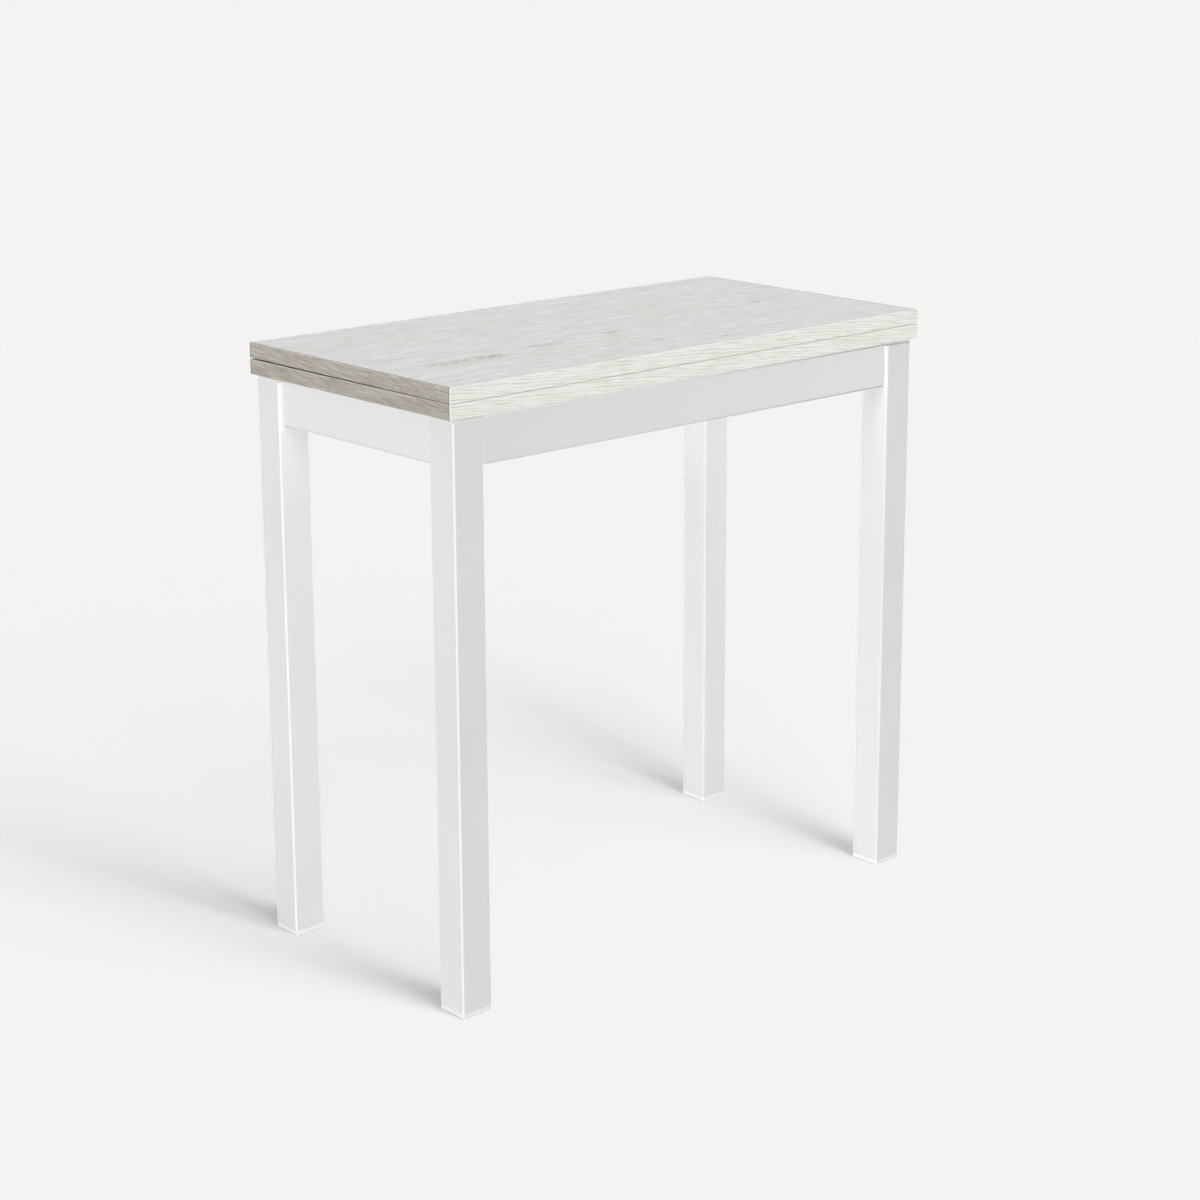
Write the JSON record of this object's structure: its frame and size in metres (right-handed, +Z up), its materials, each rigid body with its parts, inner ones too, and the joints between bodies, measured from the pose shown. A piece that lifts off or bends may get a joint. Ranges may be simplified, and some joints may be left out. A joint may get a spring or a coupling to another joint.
{
  "type": "extendable table",
  "caption": "Fold-over table: two hinged boards on a white square-tube frame; the top turns a quarter turn on a pivot and opens to twice its area.",
  "frame": {"origin": "on the floor under the middle of the closed top", "axes": "+X along the closed top's long side, to the right seen from the front; +Y towards the hinged rear edge; +Z up"},
  "size_m": [0.8, 0.4001, 0.78],
  "materials": {
    "top_decor": "pale grey wood-look laminate, matt",
    "long_band_decor": "cream white wood-look edge band",
    "end_band_decor": "grey-brown wood-look edge band",
    "white_paint": "white powder coat, satin",
    "white_plastic": "moulded, matt",
    "zinc": "zinc plated",
    "nickel": "nickel plated",
    "nylon": "natural nylon",
    "felt": "pressed felt"
  },
  "bodies": {
    "frame": {"front_left_leg": "white_paint", "front_right_leg": "white_paint", "rear_left_leg": "white_paint", "rear_right_leg": "white_paint", "front_left_foot": "white_plastic", "front_right_foot": "white_plastic", "rear_left_foot": "white_plastic", "rear_right_foot": "white_plastic", "front_left_leg_cap": "white_plastic", "front_right_leg_cap": "white_plastic", "rear_left_leg_cap": "white_plastic", "rear_right_leg_cap": "white_plastic", "front_apron": "white_paint", "rear_apron": "white_paint", "left_apron": "white_paint", "right_apron": "white_paint", "front_apron_end_plates": "white_paint", "rear_apron_end_plates": "white_paint", "frame_bolts": "zinc", "frame_washers": "zinc", "leg_rivet_nuts": "zinc", "pivot_rail": "white_paint", "rail_end_plates": "white_paint", "rail_bolts": "zinc", "rail_washers": "zinc", "rail_rivet_nuts": "zinc", "pivot_bush": "nylon", "leg_glide_pads": "felt", "apron_glide_pads": "felt"},
    "top": {"lower_board": "top_decor", "lower_front_band": "long_band_decor", "lower_rear_band": "long_band_decor", "lower_left_band": "end_band_decor", "lower_right_band": "end_band_decor", "swivel_plate": "zinc", "swivel_plate_screws": "zinc", "stop_pin": "zinc", "pivot_stud": "zinc", "pivot_washer": "zinc", "pivot_spring_washer": "zinc", "pivot_lock_nut": "zinc", "lower_hinge_plates": "nickel", "lower_hinge_pins": "nickel", "lower_hinge_screws": "nickel", "leaf_dots": "felt"},
    "hinge_links": {"left_hinge_link": "nickel", "middle_hinge_link": "nickel", "right_hinge_link": "nickel"},
    "upper_leaf": {"upper_board": "top_decor", "upper_front_band": "long_band_decor", "upper_rear_band": "long_band_decor", "upper_left_band": "end_band_decor", "upper_right_band": "end_band_decor", "upper_hinge_plates": "nickel", "upper_hinge_pins": "nickel", "upper_hinge_screws": "nickel"}
  },
  "joints": [
    {"name": "top_turn", "type": "hinge", "parent": "frame", "child": "top", "pos_m": [0.1, 0.1, 0.74], "axis": [0, 0, 1], "range_deg": [0, 90]},
    {"name": "link_fold", "type": "hinge", "parent": "top", "child": "hinge_links", "pos_m": [0, 0.196, 0.7556], "axis": [-1, 0, 0], "range_deg": [0, 90]},
    {"name": "leaf_fold", "type": "hinge", "parent": "hinge_links", "child": "upper_leaf", "pos_m": [0, 0.196, 0.7644], "axis": [-1, 0, 0], "range_deg": [0, 90.22]}
  ]
}
